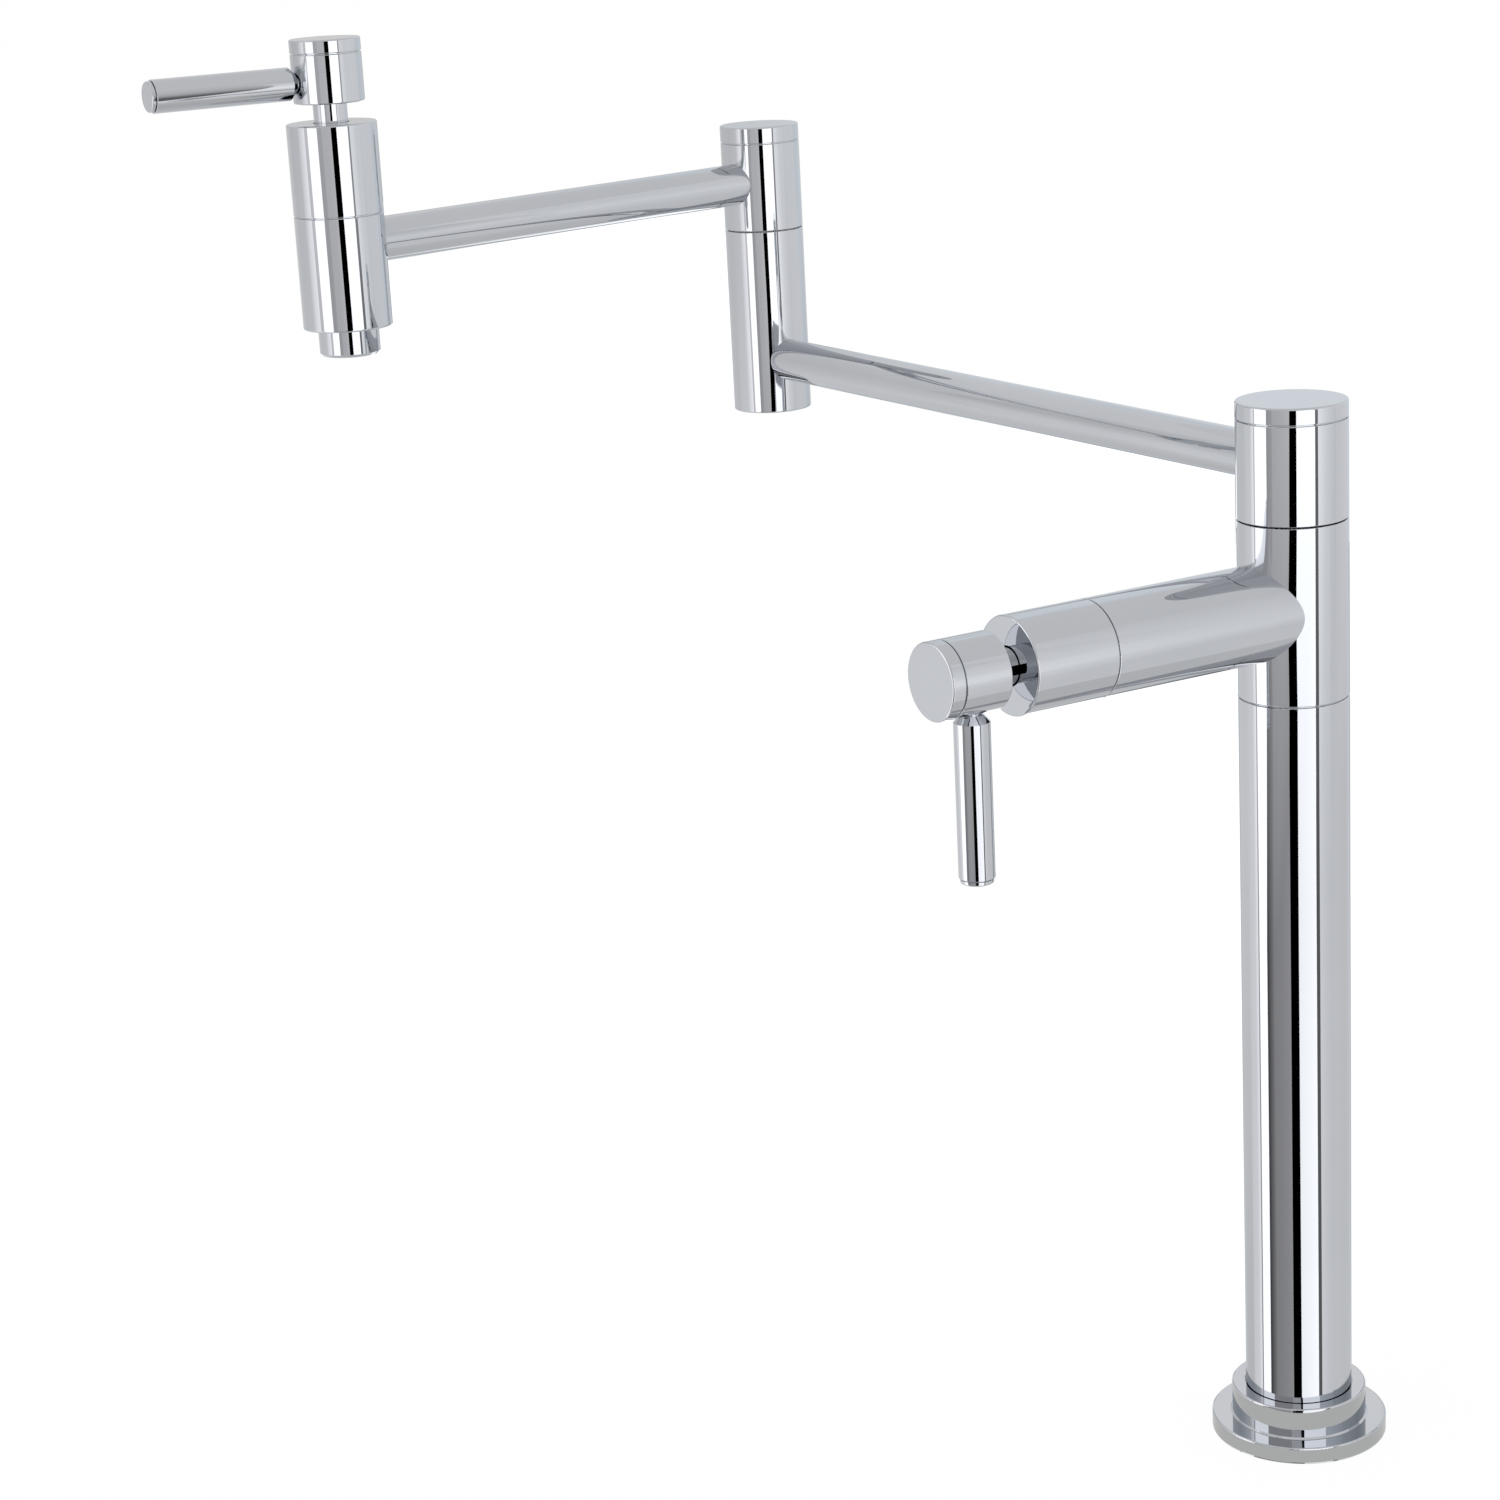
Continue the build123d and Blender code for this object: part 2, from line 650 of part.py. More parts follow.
def jets(start, end):
    """Rings of small round holes."""
    holes = [rod(JET_D, start, end)]
    for step in range(1, JET_RINGS + 1):
        holes += PolarLocations(step * JET_PITCH, JETS_PER_RING * step) * rod(JET_D, start, end)
    return holes


def aerator_insert():
    return rod(AERATOR_BORE_D - 2 * SEAT_CLEARANCE, INSERT_FOOT, SCREEN_FOOT) - jets(INSERT_FOOT, SCREEN_FOOT)


def aerator_screen():
    screen_top = SCREEN_FOOT + SCREEN_T
    return rod(AERATOR_BORE_D - 2 * SEAT_CLEARANCE, SCREEN_FOOT, screen_top) - jets(SCREEN_FOOT, screen_top)


def aerator_washer():
    outer = AERATOR_THREAD_D - 2 * SEAT_CLEARANCE
    thread_top = SPOUT_BOTTOM + AERATOR_THREAD_L
    bore = AERATOR_THREAD_D - 2 * AERATOR_WASHER_LAND
    return ring(outer, bore, thread_top, thread_top + AERATOR_WASHER_T)


# Quarter-turn valves, built on the Z axis with the bonnet's outer face at zero
def bonnet(length):
    neck_bore_r = NECK_D / 2 + SEAT_CLEARANCE
    stem_hole_r = STEM_R + FREE_GAP
    return turned([
        (neck_bore_r, -length),
        *seam(VALVE_R, -length, 1),
        (VALVE_R, 0, EDGE_ROUND),
        (stem_hole_r, 0),
        (stem_hole_r, -BONNET_FRONT_T),
        (BONNET_BORE_D / 2, -BONNET_FRONT_T),
        (BONNET_BORE_D / 2, CLAMP_Z),
        (neck_bore_r, CLAMP_Z),
    ])


def cartridge():
    bearing_r = STEM_BEARING_D / 2 + RUNNING_CLEARANCE
    body = turned([
        (CARTRIDGE_CAVITY_D / 2, FIXED_DISC_Z),
        (CARTRIDGE_D / 2, FIXED_DISC_Z),
        (CARTRIDGE_D / 2, NECK_TOP),
        (CARTRIDGE_FLANGE_D / 2, NECK_TOP),
        (CARTRIDGE_FLANGE_D / 2, CLAMP_Z),
        (CARTRIDGE_NECK_D / 2, CLAMP_Z),
        (CARTRIDGE_NECK_D / 2, CARTRIDGE_TOP),
        (bearing_r, CARTRIDGE_TOP),
        (bearing_r, CAVITY_TOP),
        (CARTRIDGE_CAVITY_D / 2, CAVITY_TOP),
    ])
    windows = Pos(0, 0, TURNING_DISC_Z) * Box(
        WINDOW_W, CARTRIDGE_D + CUT_OVERSHOOT, CAVITY_TOP - TURNING_DISC_Z, align=FROM_FOOT
    )
    return body - windows


def fixed_disc():
    disc = rod(CARTRIDGE_CAVITY_D - 2 * SEAT_CLEARANCE, FIXED_DISC_Z, TURNING_DISC_Z)
    return disc - sectors(DISC_PORT_OUTER_D, DISC_PORT_INNER_D, FIXED_DISC_Z, TURNING_DISC_Z, 90)


def seat_seal():
    return ring(SEAT_SEAL_D, DISC_PORT_OUTER_D, SEAT_Z, FIXED_DISC_Z)


def turning_disc():
    disc = rod(DISC_D, TURNING_DISC_Z, DRIVER_Z)
    notches = sectors(DISC_D + CUT_OVERSHOOT, DISC_PORT_INNER_D, TURNING_DISC_Z, DRIVER_Z, 0)
    keyway = Pos(0, 0, DRIVER_Z) * Box(
        DRIVER_KEY_W + 2 * KEY_GAP,
        DRIVER_KEY_L + 2 * KEY_GAP,
        DRIVER_KEY_T + KEY_GAP,
        align=(Align.CENTER, Align.CENTER, Align.MAX),
    )
    return disc - [notches, keyway]


STEM_SHOULDER = CARTRIDGE_TOP + END_PLAY
STEM_ORING_Z = CARTRIDGE_TOP - STEM_ORING_DEPTH


def stem():
    body = turned([
        (0, DRIVER_Z),
        (DISC_D / 2, DRIVER_Z),
        (DISC_D / 2, BEARING_Z),
        (STEM_BEARING_D / 2, BEARING_Z),
        (STEM_BEARING_D / 2, STEM_SHOULDER),
        (STEM_R, STEM_SHOULDER),
        (STEM_R, STEM_TOP),
        (0, STEM_TOP),
    ])
    key = Pos(0, 0, DRIVER_Z) * Box(
        DRIVER_KEY_W, DRIVER_KEY_L, DRIVER_KEY_T, align=(Align.CENTER, Align.CENTER, Align.MAX)
    )
    groove = oring_groove(STEM_BEARING_D / 2, STEM_ORING_SECTION, STEM_ORING_Z)
    screw_hole = rod(SCREW_D + 2 * SEAT_CLEARANCE, SCREW_SEAT - SCREW_L, STEM_TOP)
    return body + key - [groove, screw_hole]


def stem_oring():
    return oring(STEM_BEARING_D / 2, STEM_ORING_SECTION, STEM_ORING_Z)


# Hubs and levers, with the lever along +X
def hub():
    spigot_r = HUB_CAP_SPIGOT_D / 2 + SEAT_CLEARANCE
    spigot_foot = HUB_TOP - HUB_CAP_SPIGOT_L
    head_r = SCREW_HEAD_D / 2 + SCREW_HOLE_GAP
    screw_r = SCREW_D / 2 + SCREW_HOLE_GAP
    body = turned([
        (STEM_R + SEAT_CLEARANCE, HUB_FOOT),
        (HUB_R, HUB_FOOT, EDGE_ROUND),
        (HUB_R, HUB_TOP, PARTING_ROUND),
        (spigot_r, HUB_TOP),
        (spigot_r, spigot_foot),
        (head_r, spigot_foot),
        (head_r, SCREW_SEAT),
        (screw_r, SCREW_SEAT),
        (screw_r, STEM_TOP),
        (STEM_R + SEAT_CLEARANCE, STEM_TOP),
    ])
    return body - side_rod(LEVER_STUD_D + 2 * SEAT_CLEARANCE, STEM_R, HUB_D, LEVER_Z, 0)


def hub_cap():
    spigot_foot = HUB_TOP - HUB_CAP_SPIGOT_L
    return turned([
        (0, spigot_foot),
        (HUB_CAP_SPIGOT_D / 2, spigot_foot),
        (HUB_CAP_SPIGOT_D / 2, HUB_TOP),
        *seam(HUB_R, HUB_TOP, 1),
        (HUB_R, HUB_TOP + HUB_CAP_T, EDGE_ROUND),
        (0, HUB_TOP + HUB_CAP_T),
    ])


def hub_screw():
    head_top = SCREW_SEAT + SCREW_HEAD_T
    body = rod(SCREW_D, SCREW_SEAT - SCREW_L, SCREW_SEAT) + rod(SCREW_HEAD_D, SCREW_SEAT, head_top)
    hexagon = RegularPolygon(SCREW_SOCKET / 2, 6, major_radius=False)
    return body - Pos(0, 0, head_top) * extrude(hexagon, -SCREW_SOCKET_DEPTH)


ROD_END = LEVER_L - TIP_T - TIP_GROOVE
AT_LEVER = Pos(0, 0, LEVER_Z) * ALONG_X


def lever():
    rod_start = HUB_R + LEVER_GAP
    stud_start = STEM_R + FREE_GAP
    hole_r = TIP_SPIGOT_D / 2 + SEAT_CLEARANCE
    hole_floor = ROD_END - TIP_SPIGOT_L
    return AT_LEVER * turned([
        (0, stud_start),
        (LEVER_STUD_D / 2, stud_start),
        (LEVER_STUD_D / 2, rod_start),
        (LEVER_D / 2 - LEVER_CHAMFER, rod_start),
        (LEVER_D / 2, rod_start + LEVER_CHAMFER_L),
        (LEVER_D / 2, ROD_END, PARTING_ROUND),
        (hole_r, ROD_END),
        (hole_r, hole_floor),
        (0, hole_floor),
    ])


def lever_tip():
    return AT_LEVER * turned([
        (0, ROD_END - TIP_SPIGOT_L),
        (TIP_SPIGOT_D / 2, ROD_END - TIP_SPIGOT_L),
        (TIP_SPIGOT_D / 2, ROD_END + TIP_GROOVE),
        (TIP_D / 2, ROD_END + TIP_GROOVE),
        (TIP_D / 2, LEVER_L, EDGE_ROUND),
        (0, LEVER_L),
    ])


def valve_pieces(prefix, bonnet_length, place):
    """Every piece of one valve and its handle, by node name."""
    pieces = {
        "bonnet": bonnet(bonnet_length),
        "cartridge": cartridge(),
        "fixed_disc": fixed_disc(),
        "seat_seal": seat_seal(),
        "stem": stem(),
        "stem_oring": stem_oring(),
        "turning_disc": turning_disc(),
        "hub": hub(),
        "hub_cap": hub_cap(),
        "hub_screw": hub_screw(),
        "lever": lever(),
        "lever_tip": lever_tip(),
    }
    return {f"{prefix}_{name}": place * solid for name, solid in pieces.items()}


def swivel_pieces(prefix, joint, place):
    """The inner pieces of one swivel joint, by node name."""
    pieces = {
        "spindle": spindle(joint),
        "orings": spindle_orings(joint),
        "thrust_washer": thrust_washer(joint),
        "circlip": circlip(joint),
    }
    return {f"{prefix}_{name}": place * solid for name, solid in pieces.items()}


def all_pieces():
    return {
        "flange": flange(),
        "collar": collar(),
        "deck_gasket": deck_gasket(),
        "mounting_shank": mounting_shank(),
        "rubber_washer": rubber_washer(),
        "steel_washer": steel_washer(),
        "mounting_nut": mounting_nut(),
        "riser": riser(),
        "riser_plug": riser_plug(),
        "riser_oring": riser_oring(),
        "tee_body": tee_body(),
        "swivel_head": swivel_body(HEAD, COLUMN_R, LOWER_ARM_AZIMUTH),
        "head_cap": swivel_cap(HEAD, COLUMN_R, HEAD_CAP_H),
        "lower_arm_tube": arm_tube(LOWER_ARM_L, LOWER_ARM_Z, LOWER_ARM_AZIMUTH),
        "elbow_body": AT_ELBOW * elbow_body(),
        "elbow_sleeve": AT_ELBOW * swivel_body(ELBOW, ELBOW_R, UPPER_ARM_AZIMUTH),
        "elbow_cap": AT_ELBOW * swivel_cap(ELBOW, ELBOW_R, ELBOW_CAP_H),
        "upper_arm_tube": AT_ELBOW * arm_tube(UPPER_ARM_L, UPPER_ARM_Z, UPPER_ARM_AZIMUTH),
        "spout_body": AT_SPOUT * spout_body(),
        "aerator_housing": AT_SPOUT * aerator_housing(),
        "aerator_insert": AT_SPOUT * aerator_insert(),
        "aerator_screen": AT_SPOUT * aerator_screen(),
        "aerator_washer": AT_SPOUT * aerator_washer(),
        **swivel_pieces("head", HEAD, Pos(0, 0, 0)),
        **swivel_pieces("elbow", ELBOW, AT_ELBOW),
        **valve_pieces("lower", LOWER_BONNET_L, AT_LOWER_VALVE),
        **valve_pieces("upper", UPPER_BONNET_L, AT_UPPER_VALVE),
    }


os.makedirs("parts", exist_ok=True)
for node, solid in all_pieces().items():
    export_step(solid, f"parts/{node}.step")
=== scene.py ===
import json
from math import cos, pi, radians, sin, tan

import bpy
from mathutils import Matrix, Vector


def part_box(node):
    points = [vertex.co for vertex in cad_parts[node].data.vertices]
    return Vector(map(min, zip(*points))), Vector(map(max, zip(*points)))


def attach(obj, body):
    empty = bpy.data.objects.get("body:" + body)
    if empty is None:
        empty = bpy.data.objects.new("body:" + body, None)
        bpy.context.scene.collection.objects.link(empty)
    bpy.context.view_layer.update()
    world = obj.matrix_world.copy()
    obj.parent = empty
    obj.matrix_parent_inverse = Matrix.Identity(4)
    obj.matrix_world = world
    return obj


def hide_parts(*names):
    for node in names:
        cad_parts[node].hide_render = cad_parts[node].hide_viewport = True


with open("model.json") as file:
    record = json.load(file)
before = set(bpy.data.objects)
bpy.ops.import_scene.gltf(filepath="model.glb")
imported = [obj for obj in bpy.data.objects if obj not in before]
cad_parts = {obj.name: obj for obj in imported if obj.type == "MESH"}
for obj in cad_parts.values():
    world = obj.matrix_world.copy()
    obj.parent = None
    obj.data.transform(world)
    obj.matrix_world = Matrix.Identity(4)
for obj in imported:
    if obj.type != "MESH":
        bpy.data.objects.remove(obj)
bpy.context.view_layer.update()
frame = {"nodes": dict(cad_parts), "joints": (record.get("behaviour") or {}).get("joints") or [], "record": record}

MM = 0.001
MICRON = 0.000001

# Camera, solved from edges measured in the photograph
IMAGE_SIDE_PX = 1500
FOCAL_PX = 3326.9
SENSOR_MM = 36.0
CAMERA_AT = Vector((0.71752, -0.60736, 0.48684))
CAMERA_AZIMUTH = radians(149.407)
CAMERA_PITCH = radians(15.808)
CAMERA_ROLL = radians(3.071)
CAMERA_NEAR = 0.01
CAMERA_FAR = 50

# Light: a white world, one weak lamp, and a white floor at the level of the worktop
WHITE = (1, 1, 1, 1)
LIGHT_FOR_SURFACES = 0.95
KEY_WATTS = 3.0
KEY_SIZE = 1.2
KEY_AT = Vector((-0.1, -0.9, 1.5))
KEY_AIM = Vector((0, 0, 0.15))
FLOOR_Z = -0.00005
FLOOR_HALF = 20.0
FLOOR_WHITE = 0.95
FLOOR_COLOUR = (0.99, 0.99, 0.99, 1)

# Tent of cards that only reflections see
TENT_FOOT = -0.52
TENT_LEVELS = (-0.05, 0.17, 0.40, 0.75)
TENT_TOP = 1.0
TENT_HALF = 1.1
DECK_CARD_R = 0.0462
DECK_CARD_SEGMENTS = 64
DECK_CARD_LIFT = 0.0004
PLAIN = (1.0, 1.0, 1.0)
COOL = (0.955, 1.0, 1.035)
ROSE = (1.02, 1.0, 1.005)
WARM = (1.015, 1.0, 0.95)

# Noise in the materials: the middle range of its values, and its detail
NOISE_LOW = 0.3
NOISE_HIGH = 0.7
COLOUR_DETAIL = 3.0
ROUGH_DETAIL = 4.0
RELIEF_DETAIL = 2.0
NO_STRETCH = (1, 1, 1)

# Shank below the deck, which gets its two threads here
PIPE_PITCH = 1.814 * MM
PIPE_THREAD_DEPTH = 1.0 * MM
GROOVE_FLOOR_SHARE = 0.2
THREAD_STEPS = 8
THREAD_SEGMENTS = 96
THREAD_TOP = -4.0 * MM
THREAD_SHARP = radians(35)
SHANK_BORE_R = 7.5 * MM
SHANK_LEAD = 0.4 * MM
RELIEF_BELOW_NUT = 1.5 * MM
RELIEF_L = 1.5 * MM
RELIEF_DEPTH = 1.0 * MM

# Clamping nut, which gets its chamfers here
NUT_ACROSS_FLATS = 32.0 * MM
NUT_BORE_R = 10.5 * MM
NUT_LEAD = 0.8 * MM
NUT_FACE_SHARE = 0.97
NUT_CHAMFER = radians(30)
NUT_SHARP = radians(20)
NUT_SEGMENTS = 192


def add(tree, kind, **settings):
    """A new shader node with these properties and socket values."""
    node = tree.nodes.new(kind)
    for name, value in settings.items():
        if hasattr(node, name):
            setattr(node, name, value)
        else:
            node.inputs[name.replace("_", " ")].default_value = value
    return node


def new_material(name):
    """An empty node material, its node tree and its output."""
    mat = bpy.data.materials.new(name)
    mat.use_nodes = True
    mat.node_tree.nodes.clear()
    return mat, mat.node_tree, mat.node_tree.nodes.new("ShaderNodeOutputMaterial")


def noise(tree, coords, scale, detail, stretch=NO_STRETCH):
    """A noise texture over the object's own coordinates, in cycles per metre."""
    source = coords
    if stretch != NO_STRETCH:
        mapping = add(tree, "ShaderNodeMapping", Scale=stretch)
        tree.links.new(coords, mapping.inputs["Vector"])
        source = mapping.outputs["Vector"]
    texture = add(tree, "ShaderNodeTexNoise", Scale=scale, Detail=detail)
    tree.links.new(source, texture.inputs["Vector"])
    return texture.outputs["Fac"]


def ramp(tree, factor, low, high):
    """A colour that goes from low to high over the noise's middle range."""
    node = add(tree, "ShaderNodeValToRGB")
    for element, place, colour in zip(node.color_ramp.elements, (NOISE_LOW, NOISE_HIGH), (low, high)):
        element.position = place
        element.color = (*colour, 1)
    tree.links.new(factor, node.inputs["Fac"])
    return node.outputs["Color"]


def spread(tree, factor, low, high):
    """A number that goes from low to high over the noise's middle range."""
    node = add(
        tree, "ShaderNodeMapRange", From_Min=NOISE_LOW, From_Max=NOISE_HIGH, To_Min=low, To_Max=high,
    )
    tree.links.new(factor, node.inputs["Value"])
    return node.outputs["Result"]


def bump(tree, height, distance):
    """A bump of that height in metres."""
    node = add(tree, "ShaderNodeBump", Strength=1.0, Distance=distance)
    tree.links.new(height, node.inputs["Height"])
    return node.outputs["Normal"]


def surface(
    name, metallic, colours, colour_scale, roughness, rough_scale, relief, relief_scale,
    stretch=NO_STRETCH, **extra,
):
    """A material whose colour, roughness and relief all vary over the surface."""
    mat, tree, out = new_material(name)
    coords = add(tree, "ShaderNodeTexCoord").outputs["Object"]
    shader = add(tree, "ShaderNodeBsdfPrincipled", Metallic=metallic, **extra)
    colour = ramp(tree, noise(tree, coords, colour_scale, COLOUR_DETAIL), *colours)
    tree.links.new(colour, shader.inputs["Base Color"])
    rough = spread(tree, noise(tree, coords, rough_scale, ROUGH_DETAIL, stretch), *roughness)
    tree.links.new(rough, shader.inputs["Roughness"])
    normal = bump(tree, noise(tree, coords, relief_scale, RELIEF_DETAIL, stretch), relief)
    tree.links.new(normal, shader.inputs["Normal"])
    tree.links.new(shader.outputs["BSDF"], out.inputs["Surface"])
    return mat


MATERIALS = {
    "chrome": surface(
        "polished_chrome", metallic=1.0,
        colours=((0.531, 0.548, 0.578), (0.549, 0.564, 0.594)), colour_scale=24,
        roughness=(0.018, 0.032), rough_scale=60,
        relief=20 * MICRON, relief_scale=45,
    ),
    "brass": surface(
        "machined_brass", metallic=1.0,
        colours=((0.70, 0.52, 0.24), (0.80, 0.63, 0.33)), colour_scale=160,
        roughness=(0.22, 0.38), rough_scale=900,
        relief=12 * MICRON, relief_scale=1400, stretch=(0.15, 0.15, 1.0),
    ),
    "stainless": surface(
        "brushed_stainless", metallic=1.0,
        colours=((0.60, 0.60, 0.59), (0.69, 0.69, 0.68)), colour_scale=200,
        roughness=(0.2, 0.36), rough_scale=1500,
        relief=6 * MICRON, relief_scale=2200, stretch=(0.1, 1.0, 0.1),
    ),
    "seal_rubber": surface(
        "seal_rubber", metallic=0.0,
        colours=((0.025, 0.025, 0.027), (0.045, 0.045, 0.047)), colour_scale=500,
        roughness=(0.55, 0.75), rough_scale=1200,
        relief=20 * MICRON, relief_scale=2500, Specular_IOR_Level=0.35,
    ),
    "ceramic": surface(
        "lapped_ceramic", metallic=0.0,
        colours=((0.85, 0.84, 0.81), (0.9, 0.89, 0.86)), colour_scale=400,
        roughness=(0.12, 0.25), rough_scale=1500,
        relief=4 * MICRON, relief_scale=3000, Coat_Weight=0.3,
    ),
    "bearing_plastic": surface(
        "bearing_plastic", metallic=0.0,
        colours=((0.86, 0.86, 0.84), (0.92, 0.92, 0.9)), colour_scale=300,
        roughness=(0.35, 0.5), rough_scale=1500,
        relief=8 * MICRON, relief_scale=2500,
    ),
    "insert_plastic": surface(
        "insert_plastic", metallic=0.0,
        colours=((0.19, 0.2, 0.21), (0.25, 0.26, 0.27)), colour_scale=300,
        roughness=(0.4, 0.55), rough_scale=1500,
        relief=8 * MICRON, relief_scale=2500,
    ),
}


def dress_nodes():
    """Every CAD node gets the material of its slot in the record."""
    for row in frame["record"]["subparts"]:
        node = frame["nodes"][row["node"]]
        node.data.materials.clear()
        node.data.materials.append(MATERIALS[row["material_slot"]])


def mesh_object(name, verts, faces, material):
    """A mesh object from points and faces."""
    mesh = bpy.data.meshes.new(name)
    mesh.from_pydata(verts, [], faces)
    mesh.validate()
    mesh.materials.append(material)
    obj = bpy.data.objects.new(name, mesh)
    bpy.context.scene.collection.objects.link(obj)
    return obj


def circle(radius, z, count):
    """One ring of points round the riser's axis."""
    turns = [2 * pi * k / count for k in range(count)]
    return [(radius * cos(turn), radius * sin(turn), z) for turn in turns]


def square(half, z):
    """The corners of a level square round the riser's axis."""
    return [(-half, -half, z), (half, -half, z), (half, half, z), (-half, half, z)]


def lathe(rings):
    """Points and quads of rings that follow each other, with the last one joined to the first."""
    count = len(rings[0])
    verts = [point for ring in rings for point in ring]
    faces = []
    for r in range(len(rings)):
        here = r * count
        there = (r + 1) % len(rings) * count
        for k in range(count):
            after = (k + 1) % count
            faces.append((here + k, here + after, there + after, there + k))
    return verts, faces


def thread_rings(bottom, top, outer_r):
    """Rings of a pipe thread that runs out at both ends."""
    rings = []
    levels = round((top - bottom) / PIPE_PITCH * THREAD_STEPS)
    for level in range(levels + 1):
        z = bottom + (top - bottom) * level / levels
        fade = min(1.0, (z - bottom) / PIPE_PITCH, (top - z) / PIPE_PITCH)
        ring = []
        for k in range(THREAD_SEGMENTS):
            turn = 2 * pi * k / THREAD_SEGMENTS
            phase = (z / PIPE_PITCH - k / THREAD_SEGMENTS) % 1.0
            from_crest = 0.5 - abs(phase - 0.5)
            groove = min(1.0, from_crest / (0.5 - GROOVE_FLOOR_SHARE / 2))
            radius = outer_r - PIPE_THREAD_DEPTH * fade * groove
            ring.append((radius * cos(turn), radius * sin(turn), z))
        rings.append(ring)
    return rings


def threaded_shank():
    """The shank with its two threads, in place of the plain CAD one."""
    low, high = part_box("mounting_shank")
    outer_r = high.x
    relief_r = outer_r - RELIEF_DEPTH
    relief_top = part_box("mounting_nut")[0].z - RELIEF_BELOW_NUT
    relief_bottom = relief_top - RELIEF_L
    rings = [
        circle(SHANK_BORE_R, low.z, THREAD_SEGMENTS),
        circle(outer_r - PIPE_THREAD_DEPTH, low.z, THREAD_SEGMENTS),
        *thread_rings(low.z + SHANK_LEAD, relief_bottom, outer_r),
        circle(relief_r, relief_bottom, THREAD_SEGMENTS),
        circle(relief_r, relief_top, THREAD_SEGMENTS),
        *thread_rings(relief_top, THREAD_TOP, outer_r),
        circle(outer_r, high.z, THREAD_SEGMENTS),
        circle(SHANK_BORE_R, high.z, THREAD_SEGMENTS),
    ]
    verts, faces = lathe(rings)
    obj = mesh_object("threaded_shank", verts, faces, MATERIALS["brass"])
    obj.data.shade_smooth()
    obj.data.set_sharp_from_angle(angle=THREAD_SHARP)
    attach(obj, "base")
    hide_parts("mounting_shank")


def hex_radius(turn):
    """How far the nut's six flats are from its axis at that angle."""
    off = (turn + pi / 6) % (pi / 3) - pi / 6
    return NUT_ACROSS_FLATS / 2 / cos(off)


def nut_outline(z_face, inward, turned, face_r):
    """The nut's hexagon, cut by the cone of its chamfer at that face."""
    ring = []
    for k in range(NUT_SEGMENTS):
        turn = 2 * pi * k / NUT_SEGMENTS
        radius = hex_radius(turn + turned)
        z = z_face + inward * max(0.0, radius - face_r) * tan(NUT_CHAMFER)
        ring.append((radius * cos(turn), radius * sin(turn), z))
    return ring


def chamfered_nut():
    """The clamping nut with the chamfers that a plain prism lacks."""
    low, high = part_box("mounting_nut")
    turned = pi / 6 if high.x > high.y else 0.0
    face_r = NUT_ACROSS_FLATS / 2 * NUT_FACE_SHARE
    mouth_r = NUT_BORE_R + NUT_LEAD
    rings = [
        circle(mouth_r, high.z, NUT_SEGMENTS),
        circle(face_r, high.z, NUT_SEGMENTS),
        nut_outline(high.z, -1, turned, face_r),
        nut_outline(low.z, 1, turned, face_r),
        circle(face_r, low.z, NUT_SEGMENTS),
        circle(mouth_r, low.z, NUT_SEGMENTS),
        circle(NUT_BORE_R, low.z + NUT_LEAD, NUT_SEGMENTS),
        circle(NUT_BORE_R, high.z - NUT_LEAD, NUT_SEGMENTS),
    ]
    verts, faces = lathe(rings)
    obj = mesh_object("chamfered_nut", verts, faces, MATERIALS["brass"])
    obj.data.set_sharp_from_angle(angle=NUT_SHARP)
    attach(obj, "base")
    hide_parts("mounting_nut")


def grey(level, tint=PLAIN):
    """A card's brightness with the tint of its cloth."""
    return tuple(level * part for part in tint)


def card_material(name, one_sided=False):
    """Cards glow by the brightness stored on their corners; a one-sided card is clear from behind."""
    mat, tree, out = new_material(name)
    mat.cycles.emission_sampling = "NONE"
    shade = add(tree, "ShaderNodeAttribute", attribute_name="brightness")
    glow = add(tree, "ShaderNodeEmission", Strength=1.0)
    tree.links.new(shade.outputs["Color"], glow.inputs["Color"])
    shader = glow.outputs["Emission"]
    if one_sided:
        side = add(tree, "ShaderNodeNewGeometry")
        clear = add(tree, "ShaderNodeBsdfTransparent")
        mix = add(tree, "ShaderNodeMixShader")
        tree.links.new(side.outputs["Backfacing"], mix.inputs["Fac"])
        tree.links.new(shader, mix.inputs[1])
        tree.links.new(clear.outputs["BSDF"], mix.inputs[2])
        shader = mix.outputs["Shader"]
    tree.links.new(shader, out.inputs["Surface"])
    return mat


CARD = card_material("studio_card")
FACING_CARD = card_material("studio_facing_card", one_sided=True)

# The tent's upright edges in plan: up to its lowest level, and above that
EDGES = {
    "back_left": ((-0.80, -0.45), (-0.80, -0.45)),
    "fade": ((-0.412, -0.458), (-0.412, -0.458)),
    "line_left": ((-0.275, -0.420), (-0.275, -0.420)),
    "line_right": ((-0.236, -0.409), (-0.236, -0.409)),
    "strip": ((-0.119, -0.600), (-0.025, -0.600)),
    "grey": ((0.040, -0.610), (0.106, -0.606)),
    "slit_left": ((0.577, -0.685), (0.638, -0.628)),
    "slit_right": ((0.617, -0.400), (0.630, -0.379)),
    "gap_left": ((0.704, 0.056), (0.701, 0.086)),
    "gap_right": ((0.690, 0.150), (0.688, 0.163)),
    "band": ((0.60, 0.43), (0.60, 0.43)),
    "right": ((0.45, 0.75), (0.45, 0.75)),
    "back": ((-0.2, 0.9), (-0.2, 0.9)),
    "bend": ((-0.76, 0.49), (-0.76, 0.49)),
    "left": ((-0.95, 0.35), (-0.95, 0.35)),
}

